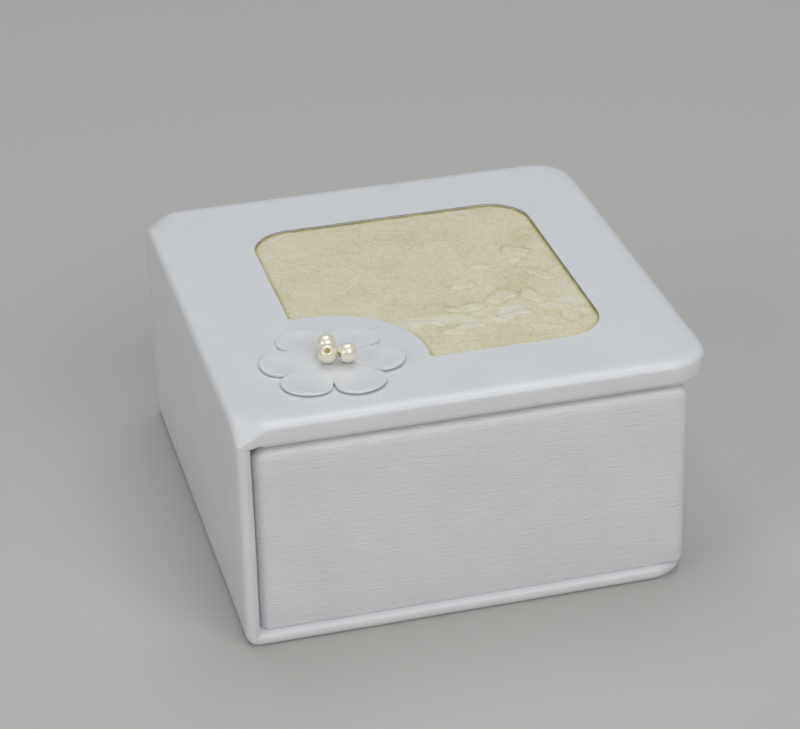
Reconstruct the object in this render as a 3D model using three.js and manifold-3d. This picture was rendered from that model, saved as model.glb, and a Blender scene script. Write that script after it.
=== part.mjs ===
// Ring box in bookbinder's construction: a leatherette case over board, with a tray glued inside it.
// Millimetres, +Z up. The hinge band is at -X, the lid lifts at its +X edge, the origin is on the
// surface that the box stands on, below its middle.
import * as THREE from 'three';
import { mergeVertices } from 'three/addons/utils/BufferGeometryUtils.js';
import Module from 'manifold-3d';

const wasm = await Module();
wasm.setup();

// ---- driving dimensions -------------------------------------------------------------------------
const HALF_WIDTH = 40;          // outside of the spine and lifting edge of the lid, from the middle
const HALF_DEPTH = 41.25;       // front and back edges of the case
const HEIGHT = 41.5;            // top of the lid
const SKIN = 0.45;              // leatherette
const FIT = 0.05;               // play between a board and the sheet round it
const CORNER = 7.2;             // plan radius of the case boards' free corners
const CASE_CORNER = 2.2;        // outside radius where the sheet turns up under the spine
const EDGE_ROLL = 1.1;          // rounding of the bottom's wrapped edges

const CASE_BOARD = 1.5;         // bottom board and spine board
const BOTTOM_X1 = 37;           // right end of the bottom, a little beyond the tray
const TURN_IN = 9;              // width of the sheet turned over a board's edge
const SPINE_TOP = 37.2;         // where the stiff spine ends and the bare hinge band begins

const LID_X0 = -35.75;          // left edge of the lid boards
const LID_THICKNESS = 4.4;
const LID_ROLL = 1.6;           // rounding of its wrapped edges
const FRAME_BOARD = 0.95;       // lid board with the window
const PANEL_PLAY = 0.35;        // round the panel let into the window
const PANEL_RECESS = 0.5;       // from the top of the lid down to the panel
const LINER_INSET = 6;          // border of turned-in sheet round the lid's liner

const WINDOW = { x0: -23.8, x1: 26.8, y0: -27, y1: 26.2, corner: 7.5 };
const FLOWER = { x: -20.5, y: -24, tip: 12.3, notch: 7.4, turn: -9.5, petals: 6, thick: 0.7 };
const NOTCH_RADIUS = 16.4;      // the window's concave corner, round the flower

const PEARL_RADIUS = 1.6;
const PEARL_HOLE = 0.42;
const PEARLS = [
  { name: 'pearl_back', x: -0.1, y: 2.2, tilt: 0.25, turn: 1.2 },
  { name: 'pearl_front', x: -0.7, y: -1.1, tilt: 0.95, turn: -0.2 },
  { name: 'pearl_right', x: 2.5, y: -1.75, tilt: 1.35, turn: 1.4 },
];

const TRAY = { x0: -37.25, x1: 36, y: 40.2, top: 36.6, corner: 1.8, roll: 1.7 };
const WALL_BOARD = 2;           // tray walls
const FLOOR_BOARD = 1.5;        // tray floor
const RIM_TURN_IN = 8;          // depth of the tray sheet turned down inside the walls
const MAGNET_COVER = 0.9;       // board and sheet over each tray magnet

const HINGE_THICKNESS = 0.9;    // leatherette and lining glued together
const HINGE_SLOPE = THREE.MathUtils.degToRad(12);
const HINGE_CORNER = 1.2;       // outside radius of the band over the spine
const HINGE_DROP = 1;           // from the top of the lid down to the crest of that corner

const MAGNET = { long: 10, wide: 1.4, deep: 2.6, y: 22, x: 34.4 };
const LID_MAGNET = { long: 10, wide: 5, thick: 1.2 };

const CARD = 1;                 // card under the cushion
const ROLL = { count: 3, height: 17.2, gap: 0.8, topCorner: 8.5, footCorner: 2, cover: 0.5 };
const CAVITY_PLAY = 0.4;        // round the cushion

const LEAST_CORNER = 0.25;      // plan radius where an inset has used a corner up
const ARC_SEGMENTS = 5;         // per quarter turn of an outline
const ROLL_SEGMENTS = 3;        // across a rolled edge
const BEAD_SEGMENTS = 20;       // round a bead
const BEAD_STEPS = 12;          // from hole to hole
const PETAL_STEPS = 14;
const PETAL_FULLNESS = 0.42;    // 1 is a plain cosine lobe, and less is rounder
const BEYOND = 5;               // how far a cutting body reaches past what it cuts

// ---- colours: hue, roughness and metalness of each material ---------------------------------------
const LEATHERETTE = { color: 0xe9eaec, roughness: 0.5, metalness: 0 };
const GREY_BOARD = { color: 0x9a948a, roughness: 0.9, metalness: 0 };
const CREAM_PAPER = { color: 0xd8cda4, roughness: 0.6, metalness: 0 };
const LINING = { color: 0xece8df, roughness: 0.8, metalness: 0 };
const SATIN = { color: 0xf0ece2, roughness: 0.4, metalness: 0 };
const FOAM = { color: 0xf3efe0, roughness: 0.95, metalness: 0 };
const PEARL = { color: 0xf3e7c4, roughness: 0.2, metalness: 0.1 };
const NICKEL = { color: 0xb9babd, roughness: 0.3, metalness: 1 };

// ---- solids -------------------------------------------------------------------------------------
function solid(geometry) {
  const bare = geometry.index ? geometry.toNonIndexed() : geometry.clone();
  bare.deleteAttribute('normal');
  bare.deleteAttribute('uv');
  const merged = mergeVertices(bare, 1e-5);
  const vertProperties = new Float32Array(merged.attributes.position.array);
  const corners = merged.index.array;
  const kept = [];
  for (let i = 0; i < corners.length; i += 3) {
    const [a, b, c] = [corners[i], corners[i + 1], corners[i + 2]];
    if (a !== b && b !== c && c !== a) kept.push(a, b, c);
  }
  const triVerts = new Uint32Array(kept);
  return new wasm.Manifold(new wasm.Mesh({ numProp: 3, vertProperties, triVerts }));
}

function geometryOf(body) {
  const mesh = body.getMesh();
  const geometry = new THREE.BufferGeometry();
  geometry.setAttribute('position', new THREE.BufferAttribute(new Float32Array(mesh.vertProperties), 3));
  geometry.setIndex(new THREE.BufferAttribute(new Uint32Array(mesh.triVerts), 1));
  geometry.computeVertexNormals();
  return geometry;
}

const group = new THREE.Group();

function addPart(name, shape, finish) {
  const geometry = shape instanceof THREE.BufferGeometry ? shape : geometryOf(shape);
  const mesh = new THREE.Mesh(geometry, new THREE.MeshStandardMaterial(finish));
  mesh.name = name;
  group.add(mesh);
  return mesh;
}

function block(x0, x1, y0, y1, z0, z1) {
  const geometry = new THREE.BoxGeometry(x1 - x0, y1 - y0, z1 - z0);
  geometry.translate((x0 + x1) / 2, (y0 + y1) / 2, (z0 + z1) / 2);
  return geometry;
}

// ---- outlines -----------------------------------------------------------------------------------
// A rectangle with its own radius at each corner, counter-clockwise from the corner at (x0, y0).
function roundedRect(x0, x1, y0, y1, r00, r10, r11, r01) {
  const shape = new THREE.Shape();
  shape.moveTo(x0 + r00, y0);
  shape.lineTo(x1 - r10, y0);
  if (r10) shape.absarc(x1 - r10, y0 + r10, r10, -Math.PI / 2, 0);
  shape.lineTo(x1, y1 - r11);
  if (r11) shape.absarc(x1 - r11, y1 - r11, r11, 0, Math.PI / 2);
  shape.lineTo(x0 + r01, y1);
  if (r01) shape.absarc(x0 + r01, y1 - r01, r01, Math.PI / 2, Math.PI);
  shape.lineTo(x0, y0 + r00);
  if (r00) shape.absarc(x0 + r00, y0 + r00, r00, Math.PI, 1.5 * Math.PI);
  return shape;
}

// Plan of a case board: square at the hinge side, rounded at the two free corners.
function casePlan(x0, x1, inset) {
  const free = Math.max(CORNER - inset, LEAST_CORNER);
  const edge = HALF_DEPTH - inset;
  return roundedRect(x0 + inset, x1 - inset, -edge, edge, 0, free, free, 0);
}

function trayPlan(inset) {
  const corner = Math.max(TRAY.corner - inset, LEAST_CORNER);
  const edge = TRAY.y - inset;
  return roundedRect(TRAY.x0 + inset, TRAY.x1 - inset, -edge, edge, corner, corner, corner, corner);
}

// The window: a rounded rectangle whose corner nearest the flower is cut back by a circle round it.
// `grow` moves the whole outline outwards.
function windowPlan(grow) {
  const x0 = WINDOW.x0 - grow;
  const x1 = WINDOW.x1 + grow;
  const y0 = WINDOW.y0 - grow;
  const y1 = WINDOW.y1 + grow;
  const r = WINDOW.corner + grow;
  const notch = NOTCH_RADIUS - grow;
  const xOnBottom = FLOWER.x + Math.sqrt(notch ** 2 - (y0 - FLOWER.y) ** 2);
  const yOnLeft = FLOWER.y + Math.sqrt(notch ** 2 - (x0 - FLOWER.x) ** 2);
  const from = Math.atan2(yOnLeft - FLOWER.y, x0 - FLOWER.x);
  const to = Math.atan2(y0 - FLOWER.y, xOnBottom - FLOWER.x);
  const shape = new THREE.Shape();
  shape.moveTo(xOnBottom, y0);
  shape.lineTo(x1 - r, y0);
  shape.absarc(x1 - r, y0 + r, r, -Math.PI / 2, 0);
  shape.lineTo(x1, y1 - r);
  shape.absarc(x1 - r, y1 - r, r, 0, Math.PI / 2);
  shape.lineTo(x0 + r, y1);
  shape.absarc(x0 + r, y1 - r, r, Math.PI / 2, Math.PI);
  shape.lineTo(x0, yOnLeft);
  shape.absarc(FLOWER.x, FLOWER.y, notch, from, to, true);
  return shape;
}

// Six round petals: the radius swings between tip and notch, with the lobes fuller than a cosine.
function flowerPlan() {
  const points = [];
  const steps = FLOWER.petals * PETAL_STEPS;
  for (let i = 0; i < steps; i += 1) {
    const angle = (i / steps) * 2 * Math.PI;
    const lobe = Math.abs(Math.cos((angle * FLOWER.petals) / 2)) ** PETAL_FULLNESS;
    const radius = FLOWER.notch + (FLOWER.tip - FLOWER.notch) * lobe;
    const turned = angle + THREE.MathUtils.degToRad(FLOWER.turn);
    points.push(new THREE.Vector2(
      FLOWER.x + radius * Math.cos(turned),
      FLOWER.y + radius * Math.sin(turned),
    ));
  }
  return new THREE.Shape(points);
}

// ---- prisms -------------------------------------------------------------------------------------
function prism(shape, z0, z1) {
  const options = { depth: z1 - z0, bevelEnabled: false, curveSegments: ARC_SEGMENTS };
  const geometry = new THREE.ExtrudeGeometry(shape, options);
  geometry.translate(0, 0, z0);
  return geometry;
}

// A slab whose upper and lower edges are rounded by `roll`.
function rolledSlab(shape, z0, z1, roll) {
  const geometry = new THREE.ExtrudeGeometry(shape, {
    depth: z1 - z0 - 2 * roll,
    bevelEnabled: true,
    bevelThickness: roll,
    bevelSize: roll,
    bevelOffset: -roll,
    bevelSegments: ROLL_SEGMENTS,
    curveSegments: ARC_SEGMENTS - 1,
  });
  geometry.translate(0, 0, z0 + roll);
  return geometry;
}

// A profile drawn in X and Z, run from y0 to y1.
function profileAlongY(shape, y0, y1) {
  const options = { depth: y1 - y0, bevelEnabled: false, curveSegments: ARC_SEGMENTS };
  const geometry = new THREE.ExtrudeGeometry(shape, options);
  geometry.rotateX(Math.PI / 2);
  geometry.translate(0, y1, 0);
  return geometry;
}

// ---- case: bottom and spine -----------------------------------------------------------------------
const BOTTOM_TOP = CASE_BOARD + 2 * SKIN;
const SPINE_X1 = -HALF_WIDTH + CASE_BOARD + 2 * SKIN;

// L-shaped outline of the case in X and Z, with the outer corner rounded under the spine.
function caseOutline(inset) {
  const x0 = -HALF_WIDTH + inset;
  const corner = CASE_CORNER - inset;
  const shape = new THREE.Shape();
  shape.moveTo(x0 + corner, inset);
  shape.lineTo(BOTTOM_X1 - inset, inset);
  shape.lineTo(BOTTOM_X1 - inset, BOTTOM_TOP - inset);
  shape.lineTo(SPINE_X1 - inset, BOTTOM_TOP - inset);
  shape.lineTo(SPINE_X1 - inset, SPINE_TOP - inset);
  shape.lineTo(x0, SPINE_TOP - inset);
  shape.lineTo(x0, inset + corner);
  shape.absarc(x0 + corner, inset + corner, corner, Math.PI, 1.5 * Math.PI);
  return shape;
}

// Everything inside the case's plan, with rolled top and bottom edges.
function caseEnvelope(inset) {
  const plan = casePlan(-HALF_WIDTH - BEYOND, BOTTOM_X1, inset);
  const low = rolledSlab(plan, inset, BOTTOM_TOP - inset, EDGE_ROLL - inset);
  const edge = HALF_DEPTH - inset;
  const tall = block(-HALF_WIDTH - BEYOND, SPINE_X1, -edge, edge, inset, SPINE_TOP);
  return solid(low).add(solid(tall));
}

function caseBody(inset) {
  const edge = HALF_DEPTH - inset;
  return solid(profileAlongY(caseOutline(inset), -edge, edge)).intersect(caseEnvelope(inset));
}

// The sheet is turned in over the boards' inner faces and open between its turned-in edges.
function addCase() {
  const openDepth = SKIN + FIT;
  const openY = HALF_DEPTH - TURN_IN;
  const bottomWindow = block(
    SPINE_X1, BOTTOM_X1 - TURN_IN, -openY, openY, BOTTOM_TOP - openDepth, BOTTOM_TOP + BEYOND);
  const spineWindow = block(
    SPINE_X1 - openDepth, SPINE_X1 + BEYOND, -openY, openY, BOTTOM_TOP, SPINE_TOP - TURN_IN / 2);
  const hollow = caseBody(0).subtract(caseBody(SKIN));
  addPart('case_wrap', hollow.subtract(solid(bottomWindow)).subtract(solid(spineWindow)), LEATHERETTE);

  const filling = caseBody(SKIN + FIT);
  const joint = -HALF_WIDTH + SKIN + CASE_BOARD + FIT;
  const right = block(joint + FIT, BOTTOM_X1, -HALF_DEPTH, HALF_DEPTH, 0, BOTTOM_TOP);
  const left = block(-HALF_WIDTH, joint, -HALF_DEPTH, HALF_DEPTH, 0, SPINE_TOP);
  addPart('bottom_board', filling.intersect(solid(right)), GREY_BOARD);
  addPart('spine_board', filling.intersect(solid(left)), GREY_BOARD);
}

// ---- hinge band -----------------------------------------------------------------------------------
// Bare leatherette from the top of the spine, round the upper edge and down-slope to the lid boards.
function hingeProfile() {
  const tilt = Math.PI / 2 + HINGE_SLOPE;
  const centre = new THREE.Vector2(-HALF_WIDTH + HINGE_CORNER, HEIGHT - HINGE_DROP - HINGE_CORNER);
  const crest = new THREE.Vector2(Math.cos(tilt), Math.sin(tilt)).multiplyScalar(HINGE_CORNER).add(centre);
  const end = LID_X0 - 2 * FIT;
  const endHeight = crest.y + (end - crest.x) * Math.tan(HINGE_SLOPE);
  const inner = HINGE_CORNER - HINGE_THICKNESS;
  const innerCrest = new THREE.Vector2(Math.cos(tilt), Math.sin(tilt)).multiplyScalar(inner).add(centre);
  const innerEnd = innerCrest.y + (end - innerCrest.x) * Math.tan(HINGE_SLOPE);
  const foot = SPINE_TOP + 2 * FIT;
  const shape = new THREE.Shape();
  shape.moveTo(-HALF_WIDTH, foot);
  shape.lineTo(-HALF_WIDTH + HINGE_THICKNESS, foot);
  shape.lineTo(-HALF_WIDTH + HINGE_THICKNESS, centre.y);
  shape.absarc(centre.x, centre.y, inner, Math.PI, tilt, true);
  shape.lineTo(end, innerEnd);
  shape.lineTo(end, endHeight);
  shape.lineTo(crest.x, crest.y);
  shape.absarc(centre.x, centre.y, HINGE_CORNER, tilt, Math.PI);
  return shape;
}

function addHinge() {
  const end = HALF_DEPTH - EDGE_ROLL / 2;
  addPart('hinge_wrap', profileAlongY(hingeProfile(), -end, end), LEATHERETTE);
}

// ---- lid ------------------------------------------------------------------------------------------
const LID_BOTTOM = HEIGHT - LID_THICKNESS;
const FRAME_Z0 = HEIGHT - SKIN - FRAME_BOARD - 2 * FIT;
const BACKING_TOP = FRAME_Z0 - 2 * FIT;

function addLid() {
  const shell = solid(rolledSlab(casePlan(LID_X0, HALF_WIDTH, 0), LID_BOTTOM, HEIGHT, LID_ROLL));
  const inside = () => rolledSlab(
    casePlan(LID_X0, HALF_WIDTH, SKIN), LID_BOTTOM + SKIN, HEIGHT - SKIN, LID_ROLL - SKIN);
  const sleeve = solid(prism(windowPlan(SKIN), FRAME_Z0 - FIT, HEIGHT + BEYOND));
  const opening = solid(prism(windowPlan(0), BACKING_TOP, HEIGHT + BEYOND));
  const linerOpening = prism(
    casePlan(LID_X0, HALF_WIDTH, LINER_INSET), LID_BOTTOM - BEYOND, LID_BOTTOM + SKIN + FIT);
  const wrap = shell
    .subtract(solid(inside()).subtract(sleeve))
    .subtract(opening)
    .subtract(solid(linerOpening));
  addPart('lid_wrap', wrap, LEATHERETTE);

  const cover = SKIN + FIT;
  const boards = solid(rolledSlab(
    casePlan(LID_X0, HALF_WIDTH, cover), LID_BOTTOM + cover, HEIGHT - cover, LID_ROLL - cover));
  const upper = solid(block(LID_X0, HALF_WIDTH, -HALF_DEPTH, HALF_DEPTH, FRAME_Z0, HEIGHT));
  const lower = solid(block(LID_X0, HALF_WIDTH, -HALF_DEPTH, HALF_DEPTH, LID_BOTTOM, BACKING_TOP));
  const frameHole = solid(prism(windowPlan(cover), FRAME_Z0 - BEYOND, HEIGHT));
  addPart('lid_frame_board', boards.intersect(upper).subtract(frameHole), GREY_BOARD);

  const pocket = (side) => block(
    MAGNET.x - LID_MAGNET.wide / 2 - FIT, MAGNET.x + LID_MAGNET.wide / 2 + FIT,
    side * MAGNET.y - LID_MAGNET.long / 2 - FIT, side * MAGNET.y + LID_MAGNET.long / 2 + FIT,
    LID_BOTTOM, LID_BOTTOM + SKIN + LID_MAGNET.thick + 3 * FIT);
  const backing = boards.intersect(lower).subtract(solid(pocket(-1))).subtract(solid(pocket(1)));
  addPart('lid_backing_board', backing, GREY_BOARD);

  addPart('window_panel', prism(
    windowPlan(-PANEL_PLAY), BACKING_TOP + FIT, HEIGHT - PANEL_RECESS), CREAM_PAPER);
  addPart('lid_liner', prism(
    casePlan(LID_X0, HALF_WIDTH, LINER_INSET + FIT), LID_BOTTOM, LID_BOTTOM + SKIN), LINING);
  for (const [name, side] of [['lid_magnet_front', -1], ['lid_magnet_back', 1]]) {
    addPart(name, block(
      MAGNET.x - LID_MAGNET.wide / 2, MAGNET.x + LID_MAGNET.wide / 2,
      side * MAGNET.y - LID_MAGNET.long / 2, side * MAGNET.y + LID_MAGNET.long / 2,
      LID_BOTTOM + SKIN + FIT, LID_BOTTOM + SKIN + FIT + LID_MAGNET.thick), NICKEL);
  }
}

// ---- flower and beads -----------------------------------------------------------------------------
function addFlower() {
  addPart('flower', prism(flowerPlan(), HEIGHT, HEIGHT + FLOWER.thick), LEATHERETTE);
  for (const pearl of PEARLS) {
    const mesh = addPart(pearl.name, pearlShape(), PEARL);
    mesh.position.set(FLOWER.x + pearl.x, FLOWER.y + pearl.y, HEIGHT + FLOWER.thick + PEARL_RADIUS + FIT);
    mesh.rotation.set(pearl.tilt, 0, pearl.turn, 'ZYX');
  }
}

// A bead turned about Z with its threading hole along the axis.
function pearlShape() {
  const mouth = Math.asin(PEARL_HOLE / PEARL_RADIUS);
  const points = [];
  for (let i = 0; i <= BEAD_STEPS; i += 1) {
    const angle = mouth + (i / BEAD_STEPS) * (Math.PI - 2 * mouth);
    points.push(new THREE.Vector2(PEARL_RADIUS * Math.sin(angle), -PEARL_RADIUS * Math.cos(angle)));
  }
  points.push(points[0].clone());
  return new THREE.LatheGeometry(points, BEAD_SEGMENTS);
}

// ---- tray -----------------------------------------------------------------------------------------
const TRAY_Z0 = BOTTOM_TOP;
const FLOOR_Z0 = TRAY_Z0 + SKIN + FIT;
const FLOOR_TOP = FLOOR_Z0 + FLOOR_BOARD;
const BOARD_INSET = SKIN + FIT;
const LINING_INSET = BOARD_INSET + WALL_BOARD + FIT;
const CAVITY_INSET = LINING_INSET + SKIN;

// A slab in the tray's plan, rounded along its upper edge only.
function trayBody(inset, z0, z1, roll) {
  const body = solid(rolledSlab(trayPlan(inset), z0 - 2 * roll, z1, roll));
  const below = block(
    TRAY.x0 - BEYOND, TRAY.x1 + BEYOND, -TRAY.y - BEYOND, TRAY.y + BEYOND, z0 - 3 * roll, z0);
  return body.subtract(solid(below));
}

// The sheet goes under the floor's edge, up the outside, over the rim and down inside the walls.
function trayWrap(rimFoot) {
  const outside = trayBody(0, TRAY_Z0, TRAY.top, TRAY.roll);
  const foot = prism(trayPlan(CAVITY_INSET - BEYOND), TRAY_Z0 - BEYOND, TRAY_Z0 + SKIN);
  const hollow = solid(prism(trayPlan(CAVITY_INSET), TRAY_Z0 - BEYOND, TRAY.top + BEYOND));
  const cavity = hollow.subtract(solid(foot));
  const boardSpace = trayBody(SKIN, TRAY_Z0 + SKIN, TRAY.top - SKIN, TRAY.roll - SKIN);
  const behindRim = solid(prism(trayPlan(LINING_INSET), TRAY_Z0, TRAY.top));
  const belowRim = solid(prism(trayPlan(SKIN), TRAY_Z0 + SKIN, rimFoot));
  const boardRing = boardSpace.subtract(behindRim).add(belowRim);
  const underFloor = solid(prism(trayPlan(TURN_IN), TRAY_Z0 - BEYOND, FLOOR_TOP));
  return outside.subtract(cavity).subtract(boardRing).subtract(underFloor);
}

function addTray() {
  const rimFoot = TRAY.top - RIM_TURN_IN;
  const magnetTop = TRAY.top - MAGNET_COVER;
  addPart('tray_wrap', trayWrap(rimFoot), LEATHERETTE);

  const boards = trayBody(BOARD_INSET, FLOOR_Z0, TRAY.top - BOARD_INSET, TRAY.roll - BOARD_INSET)
    .subtract(solid(prism(trayPlan(BOARD_INSET + WALL_BOARD), 0, TRAY.top)));
  const sideY = TRAY.y - BOARD_INSET - WALL_BOARD;
  const front = block(TRAY.x0, TRAY.x1, -TRAY.y, -sideY - FIT, 0, TRAY.top);
  const back = block(TRAY.x0, TRAY.x1, sideY + FIT, TRAY.y, 0, TRAY.top);
  const hingeSide = block(TRAY.x0, 0, -sideY, sideY, 0, TRAY.top);
  const foreSide = block(0, TRAY.x1, -sideY, sideY, 0, TRAY.top);
  const seat = (side) => block(
    MAGNET.x - MAGNET.wide / 2 - FIT, MAGNET.x + MAGNET.wide / 2 + FIT,
    side * MAGNET.y - MAGNET.long / 2 - FIT, side * MAGNET.y + MAGNET.long / 2 + FIT,
    magnetTop - MAGNET.deep - FIT, TRAY.top);
  addPart('tray_front_board', boards.intersect(solid(front)), GREY_BOARD);
  addPart('tray_back_board', boards.intersect(solid(back)), GREY_BOARD);
  addPart('tray_hinge_board', boards.intersect(solid(hingeSide)), GREY_BOARD);
  const fore = boards.intersect(solid(foreSide)).subtract(solid(seat(-1))).subtract(solid(seat(1)));
  addPart('tray_fore_board', fore, GREY_BOARD);
  for (const [name, side] of [['tray_magnet_front', -1], ['tray_magnet_back', 1]]) {
    addPart(name, block(
      MAGNET.x - MAGNET.wide / 2, MAGNET.x + MAGNET.wide / 2,
      side * MAGNET.y - MAGNET.long / 2, side * MAGNET.y + MAGNET.long / 2,
      magnetTop - MAGNET.deep, magnetTop), NICKEL);
  }

  addPart('tray_floor_board', prism(trayPlan(LINING_INSET), FLOOR_Z0, FLOOR_TOP), GREY_BOARD);
  const lining = solid(prism(trayPlan(LINING_INSET), FLOOR_TOP + FIT, rimFoot - FIT))
    .subtract(solid(prism(trayPlan(CAVITY_INSET), 0, TRAY.top)));
  addPart('tray_lining', lining, LINING);
}

// ---- cushion --------------------------------------------------------------------------------------
const CARD_Z0 = FLOOR_TOP + FIT;
const ROLL_Z0 = CARD_Z0 + CARD + FIT;

function rollProfile(x0, x1, inset) {
  const foot = ROLL.footCorner - inset;
  const top = ROLL.topCorner - inset;
  return roundedRect(
    x0 + inset, x1 - inset, ROLL_Z0 + inset, ROLL_Z0 + ROLL.height - inset, foot, foot, top, top);
}

function addCushion() {
  const x0 = TRAY.x0 + CAVITY_INSET + CAVITY_PLAY;
  const x1 = TRAY.x1 - CAVITY_INSET - CAVITY_PLAY;
  const y1 = TRAY.y - CAVITY_INSET - CAVITY_PLAY;
  addPart('cushion_card', block(x0, x1, -y1, y1, CARD_Z0, CARD_Z0 + CARD), GREY_BOARD);
  const pitch = (x1 - x0 + ROLL.gap) / ROLL.count;
  ['hinge', 'middle', 'fore'].forEach((place, i) => {
    const left = x0 + i * pitch;
    const right = left + pitch - ROLL.gap;
    const cover = solid(profileAlongY(rollProfile(left, right, 0), -y1, y1));
    const core = solid(profileAlongY(rollProfile(left, right, ROLL.cover), -y1, y1));
    addPart(`roll_cover_${place}`, cover.subtract(core), SATIN);
    addPart(`roll_foam_${place}`,
      profileAlongY(rollProfile(left, right, ROLL.cover + FIT), -y1 + ROLL.cover, y1 - ROLL.cover), FOAM);
  });
}

addCase();
addHinge();
addTray();
addCushion();
addLid();
addFlower();

export default group;
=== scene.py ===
import math

import bmesh
import bpy
from mathutils import Matrix, Quaternion, Vector, noise
from mathutils.geometry import delaunay_2d_cdt


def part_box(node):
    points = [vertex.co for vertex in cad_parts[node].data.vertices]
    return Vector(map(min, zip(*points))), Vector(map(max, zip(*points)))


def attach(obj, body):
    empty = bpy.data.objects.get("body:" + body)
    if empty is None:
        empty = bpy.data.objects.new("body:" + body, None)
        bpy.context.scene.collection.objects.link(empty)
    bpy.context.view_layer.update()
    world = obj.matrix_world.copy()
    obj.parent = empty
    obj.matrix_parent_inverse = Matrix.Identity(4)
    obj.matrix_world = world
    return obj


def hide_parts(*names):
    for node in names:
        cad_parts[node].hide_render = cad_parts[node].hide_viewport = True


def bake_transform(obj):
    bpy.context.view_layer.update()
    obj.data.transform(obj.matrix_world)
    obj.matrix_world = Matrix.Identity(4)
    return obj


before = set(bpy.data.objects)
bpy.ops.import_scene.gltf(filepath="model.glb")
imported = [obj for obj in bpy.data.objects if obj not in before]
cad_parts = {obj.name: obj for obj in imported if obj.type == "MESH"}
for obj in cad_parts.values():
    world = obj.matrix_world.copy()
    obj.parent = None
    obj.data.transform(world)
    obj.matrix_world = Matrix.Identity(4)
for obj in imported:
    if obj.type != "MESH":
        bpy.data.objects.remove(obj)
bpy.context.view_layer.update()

MM = 0.001


def box_mm(node):
    """Lowest and highest corner of a CAD node, in millimetres."""
    low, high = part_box(node)
    return low / MM, high / MM


# ---- sizes, from the frame ------------------------------------------------------------------------
CASE_LOW, CASE_HIGH = box_mm("case_wrap")
LID_LOW, LID_HIGH = box_mm("lid_wrap")
TRAY_LOW, TRAY_HIGH = box_mm("tray_wrap")
LINING_LOW, LINING_HIGH = box_mm("tray_lining")
PANEL_LOW, PANEL_HIGH = box_mm("window_panel")
FLOWER_LOW, FLOWER_HIGH = box_mm("flower")

HALF_DEPTH = LID_HIGH.y
HEIGHT = LID_HIGH.z
LID_FOOT = LID_LOW.z
SKIN = 0.45                     # leatherette
CORNER = 7.2                    # plan radius of the boards' free corners

# ---- sizes of the looks ---------------------------------------------------------------------------
CASE_THICKNESS = 2.4            # board with the sheet on both faces
CASE_BEND = 2.45                # outside radius of the corner under the spine
SEAM = 37.3                     # height where the spine ends and the hinge band begins

TOP_ROLL, TOP_FALL = 3.3, 1.5   # width and depth of the lid's crowned upper edge
CROWN = 3.0                     # fullness of that edge: 2 is an ellipse
FOOT_ROLL = 1.35                # rounding of its lower edge
WINDOW_ROLL = 0.4               # rounding of the window's edge
SHOULDER = 1.9                  # width of the lid's soft fall towards the hinge band
SAG = 3.4                       # how far the unboarded corners over the spine sink
FAR_TUCK = 1.2                  # how far the far corner is drawn in
SAG_ALONG, SAG_IN = 6.0, 7.0    # reach of that sag across the band, and in from its ends
BAND_SLOPE = math.radians(12)
BAND_CORNER = 1.3               # radius of the outer corner over the spine
LINER_INSET = 6.0

WINDOW_X0, WINDOW_X1 = -23.8, 26.8
WINDOW_Y0, WINDOW_Y1 = -27.0, 26.2
WINDOW_CORNER = 7.5
NOTCH = 16.4                    # radius of the concave corner round the flower
FILLET = 0.9                    # rounding where that arc meets the straight edges

FLOWER_X, FLOWER_Y = -20.5, -24.0
PETAL_NOTCH = 7.5
PETAL_TIPS = (12.3, 12.6, 12.4, 11.7, 12.4, 12.6)
PETALS = len(PETAL_TIPS)
PETAL_TURN = math.radians(-9.5)
PETAL_SHEET = 0.36
PETAL_LIFTS = (0.32, 0.18, 0.22, 0.22, 0.32, 0.34)

PEARL_HOLE = 0.42
PEARL_MOUTH = 0.62              # where the hole's rounded mouth meets the bead's skin
PEARL_THREAD = 0.05             # what the glue leaves of the hole
PEARL_RING = 1.1                # outer edge of the bare ring round that mouth

TRAY_ROLL = 2.6                 # rounding of the tray's outer rim
TRAY_CORNER = 1.8
TRAY_WALL = 3.0                 # board with the sheet on both faces
RIM_TURN_IN = 8.0

ARC_STEPS = 10
SIDE_STEPS = 26


# ---- small geometry -------------------------------------------------------------------------------
def line(x0, y0, x1, y1, steps, crowded=None):
    """Points along a straight stretch, without its last point. They are even, or crowded at its start
    or its end."""
    shares = [i / steps for i in range(steps)]
    if crowded == "start":
        shares = [share ** 2 for share in shares]
    elif crowded == "end":
        shares = [1 - (1 - share) ** 2 for share in shares]
    return [(x0 + (x1 - x0) * share, y0 + (y1 - y0) * share) for share in shares]


def arc(cx, cy, radius, start, end, steps):
    """Points along an arc in radians, without its last point."""
    angles = [start + (end - start) * i / steps for i in range(steps)]
    return [(cx + radius * math.cos(a), cy + radius * math.sin(a)) for a in angles]


def mix(a, b, t):
    return tuple(p + (q - p) * t for p, q in zip(a, b))


def smooth(t):
    t = min(max(t, 0.0), 1.0)
    return t * t * (3 - 2 * t)


def quarter(radius, steps, fall=None, fullness=2.0):
    """A rounded edge as pairs (distance in from the side, distance down from the face), side first.
    fall is its depth where that isn't the radius, and fullness over 2 makes it squarer than an ellipse."""
    angles = [math.pi / 2 * i / steps for i in range(steps + 1)]
    power = 2 / fullness
    return [(radius * (1 - math.sin(a) ** power), (fall or radius) * (1 - max(math.cos(a), 0) ** power))
            for a in reversed(angles)]


def sagged(x, y, z):
    """A point once the corners of the band have sunk towards the spine's top, the far one also inwards."""
    along = min(max(1 - (x - CASE_LOW.x) / SAG_ALONG, 0), 1)
    inwards = min(max(1 - (HALF_DEPTH - abs(y)) / SAG_IN, 0), 1)
    share = min(max((z - SEAM) / (HEIGHT - SEAM), 0), 1)
    tuck = FAR_TUCK * along ** 2 * inwards ** 2 * smooth((z - SEAM) / 2) if y > 0 else 0
    return Vector((x, y - tuck, z - SAG * along ** 2 * inwards ** 2 * share))


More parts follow.
